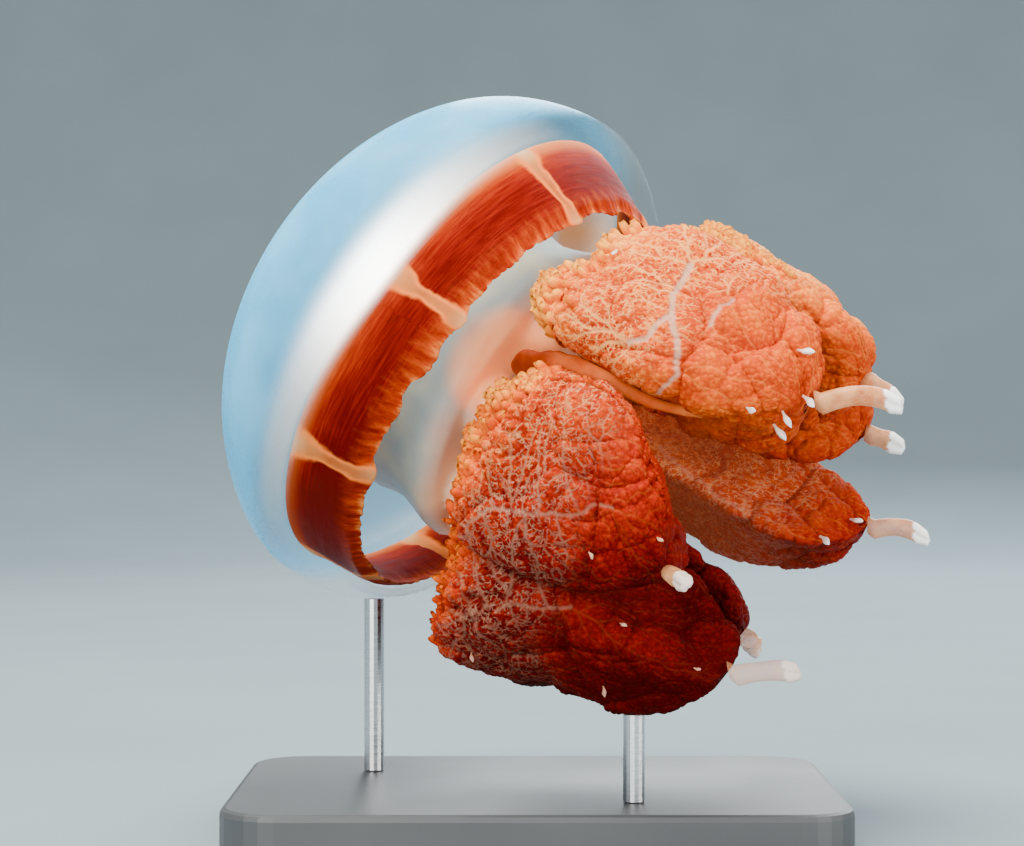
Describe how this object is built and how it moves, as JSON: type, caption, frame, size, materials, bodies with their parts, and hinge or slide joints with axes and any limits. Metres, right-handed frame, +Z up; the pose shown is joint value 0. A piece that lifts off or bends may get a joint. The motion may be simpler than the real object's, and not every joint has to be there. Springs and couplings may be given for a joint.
{
  "type": "lagoon jellyfish",
  "caption": "Life-size still model of a lagoon jellyfish swimming tilted: clear domed bell, red-brown muscle ring, thick frilled orange oral arms with clubs, on a flat base with rods.",
  "frame": {"origin": "centre of the stand base's underside", "axes": "+Z up; +X towards the arms' free ends; -Y towards the viewer of the picture, the side to which the bell's mouth is turned"},
  "size_m": [0.1791, 0.1554, 0.1832],
  "materials": {
    "bell_jelly": "smooth wet jelly, translucent blue-white",
    "ring_muscle": "fibrous red-brown muscle, pleated at the free edge",
    "pillar_jelly": "smooth cloudy jelly",
    "disc_jelly": "smooth cloudy jelly",
    "arm_root": "smooth cloudy jelly over orange frills",
    "arm_front_frills": "crowded small orange to red polyp-like frills between pale branching canals",
    "arm_front_upper_frills": "crowded small orange to red polyp-like frills between pale branching canals",
    "arm_upper_frills": "crowded small orange to red polyp-like frills between pale branching canals",
    "arm_rear_upper_frills": "crowded small orange to red polyp-like frills between pale branching canals",
    "arm_rear_frills": "crowded small orange to red polyp-like frills between pale branching canals",
    "arm_rear_lower_frills": "crowded small orange to red polyp-like frills between pale branching canals",
    "arm_lower_frills": "crowded small orange to red polyp-like frills between pale branching canals",
    "arm_front_lower_frills": "crowded small orange to red polyp-like frills between pale branching canals",
    "club_jelly": "glassy pale tube with an opaque white three-edged tip",
    "stand_paint": "satin dark grey",
    "rod_steel": "brushed"
  },
  "bodies": {
    "root": {"bell": "bell_jelly", "muscle_ring_1": "ring_muscle", "muscle_ring_2": "ring_muscle", "muscle_ring_3": "ring_muscle", "muscle_ring_4": "ring_muscle", "muscle_ring_5": "ring_muscle", "muscle_ring_6": "ring_muscle", "muscle_ring_7": "ring_muscle", "muscle_ring_8": "ring_muscle", "pillar_1": "pillar_jelly", "pillar_2": "pillar_jelly", "pillar_3": "pillar_jelly", "pillar_4": "pillar_jelly", "arm_disc": "disc_jelly", "arm_root_front": "arm_root", "arm_front": "arm_front_frills", "club_front": "club_jelly", "arm_root_front_upper": "arm_root", "arm_front_upper": "arm_front_upper_frills", "club_front_upper": "club_jelly", "arm_root_upper": "arm_root", "arm_upper": "arm_upper_frills", "club_upper": "club_jelly", "arm_root_rear_upper": "arm_root", "arm_rear_upper": "arm_rear_upper_frills", "club_rear_upper": "club_jelly", "arm_root_rear": "arm_root", "arm_rear": "arm_rear_frills", "club_rear": "club_jelly", "arm_root_rear_lower": "arm_root", "arm_rear_lower": "arm_rear_lower_frills", "club_rear_lower": "club_jelly", "arm_root_lower": "arm_root", "arm_lower": "arm_lower_frills", "club_lower": "club_jelly", "arm_root_front_lower": "arm_root", "arm_front_lower": "arm_front_lower_frills", "club_front_lower": "club_jelly", "stand_base": "stand_paint", "stand_rod_bell": "rod_steel", "stand_rod_arms": "rod_steel"}
  },
  "joints": []
}
